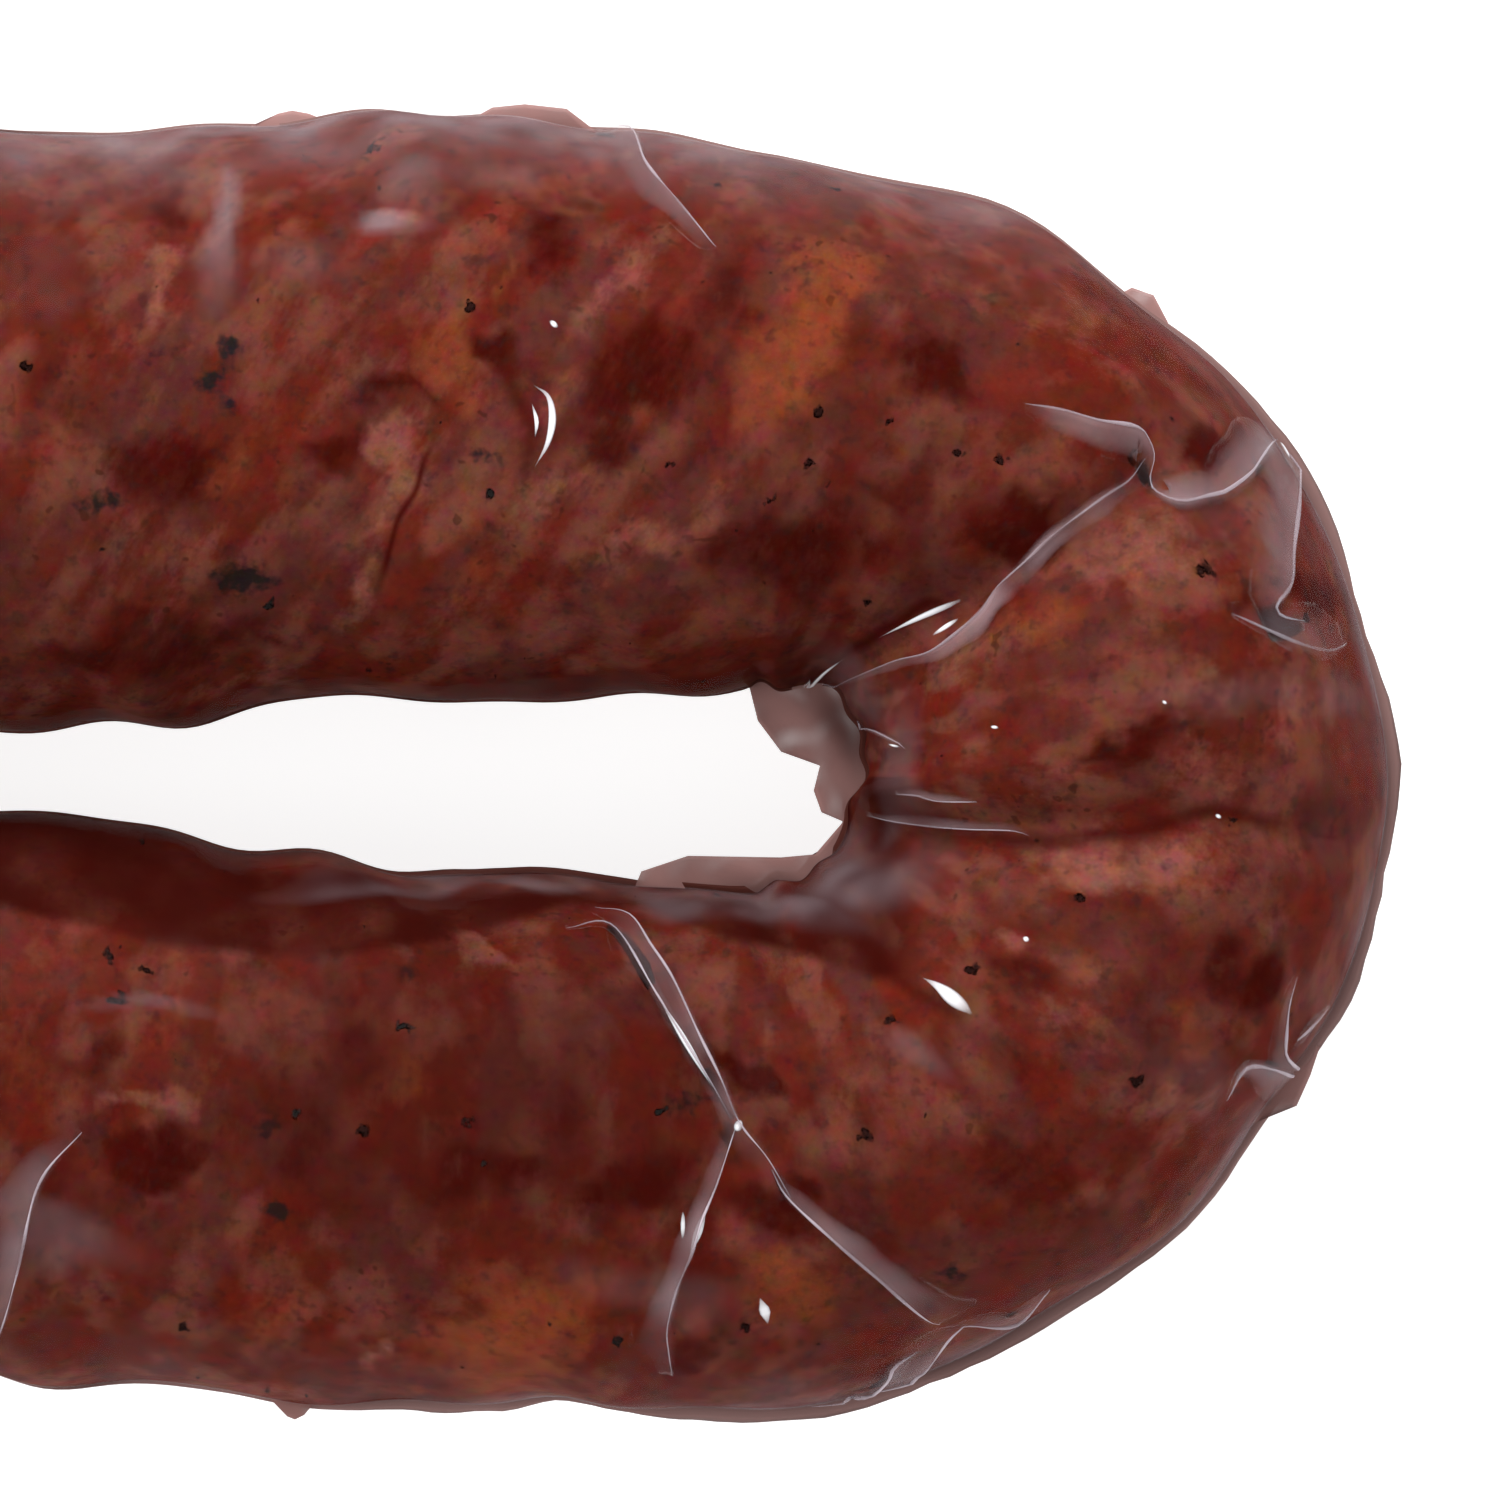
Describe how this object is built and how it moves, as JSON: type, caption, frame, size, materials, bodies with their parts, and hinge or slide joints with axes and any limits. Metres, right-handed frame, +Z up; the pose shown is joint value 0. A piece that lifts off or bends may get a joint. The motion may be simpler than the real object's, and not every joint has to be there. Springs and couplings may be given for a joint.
{
  "type": "smoked sausage rope in clear film",
  "caption": "Thick rope of coarse smoked sausage bent double into a horseshoe, its ends gathered to stubs of casing, shrunk tight in clear film with pinched folds.",
  "frame": {"origin": "centre of the bounding box's bottom face, on the table under the gap between the two arms", "axes": "+X from the gathered ends towards the bend, +Y from the shorter arm towards the longer arm, +Z up out of the table"},
  "size_m": [0.208, 0.086, 0.0349],
  "materials": {
    "meat_in_film": "mottled dark red-brown smoked meat with orange and pink fat and black specks, seen through tight glossy clear film",
    "clear_film": "thin clear film, glossy, lilac grey where it is folded double"
  },
  "bodies": {
    "root": {"sausage_rope": "meat_in_film"}
  },
  "joints": []
}
